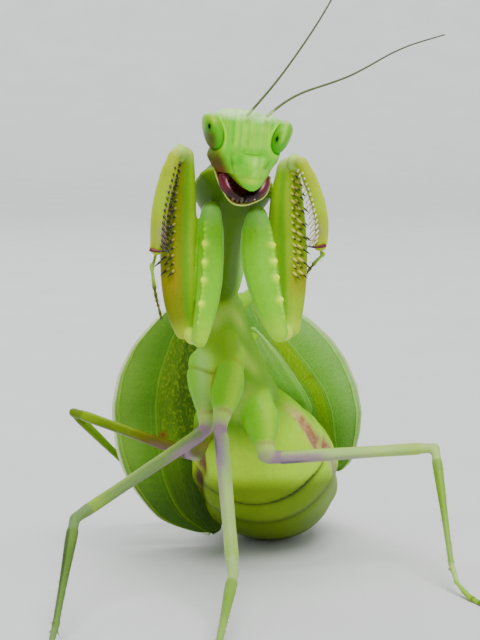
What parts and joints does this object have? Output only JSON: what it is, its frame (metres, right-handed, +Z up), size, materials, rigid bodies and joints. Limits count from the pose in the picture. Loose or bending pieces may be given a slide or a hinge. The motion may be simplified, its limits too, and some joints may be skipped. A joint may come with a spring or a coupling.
{
  "type": "praying mantis model",
  "caption": "Life-size still model of a green giant praying mantis, reared in its threat stance with raised forelegs, spread wings and open jaws, resting on feet and belly.",
  "frame": {"origin": "middle of the small flat under the belly, on the floor", "axes": "+Z up, -Y the way the animal faces, +X to its left"},
  "size_m": [0.0499, 0.0975, 0.0716],
  "materials": {
    "face_green": "satin cuticle, bright lime green with paler streaks",
    "eye_green": "glossy faceted eye, green with a small dark false pupil",
    "leg_green": "satin cuticle, yellow green, flushed lilac at the thigh roots",
    "coxa_green": "fine-grained cuticle, soft blue green",
    "belly_green": "satin cuticle, yellow green with pink brown side skin",
    "wing_green": "leathery wing with raised veins, green with a red brown spot",
    "hindwing_clear": "thin pleated wing, pale blue green",
    "feeler_brown": "ringed thread, olive brown",
    "mouth_dark": "wet dark maroon",
    "lip_cream": "smooth cream-edged lip"
  },
  "bodies": {
    "root": {"abdomen_1": "belly_green", "abdomen_2": "belly_green", "abdomen_3": "belly_green", "abdomen_4": "belly_green", "abdomen_5": "belly_green", "abdomen_6": "belly_green", "abdomen_7": "belly_green", "antenna_left": "feeler_brown", "antenna_right": "feeler_brown", "cercus_left": "leg_green", "cercus_right": "leg_green", "eye_left": "eye_green", "eye_right": "eye_green", "fore_coxa_left": "coxa_green", "fore_coxa_right": "coxa_green", "fore_femur_left": "leg_green", "fore_femur_right": "leg_green", "fore_tarsus_left": "leg_green", "fore_tarsus_right": "leg_green", "fore_tibia_left": "leg_green", "fore_tibia_right": "leg_green", "head": "face_green", "hind_coxa_left": "coxa_green", "hind_coxa_right": "coxa_green", "hind_femur_left": "leg_green", "hind_femur_right": "leg_green", "hind_tarsus_left": "leg_green", "hind_tarsus_right": "leg_green", "hind_tibia_left": "leg_green", "hind_tibia_right": "leg_green", "hindwing_left": "hindwing_clear", "hindwing_right": "hindwing_clear", "labium": "lip_cream", "labrum": "face_green", "mandible_left": "mouth_dark", "mandible_right": "mouth_dark", "mesothorax": "coxa_green", "metathorax": "coxa_green", "mid_coxa_left": "coxa_green", "mid_coxa_right": "coxa_green", "mid_femur_left": "leg_green", "mid_femur_right": "leg_green", "mid_tarsus_left": "leg_green", "mid_tarsus_right": "leg_green", "mid_tibia_left": "leg_green", "mid_tibia_right": "leg_green", "neck": "leg_green", "prothorax": "coxa_green", "tegmen_left": "wing_green", "tegmen_right": "wing_green"}
  },
  "joints": []
}
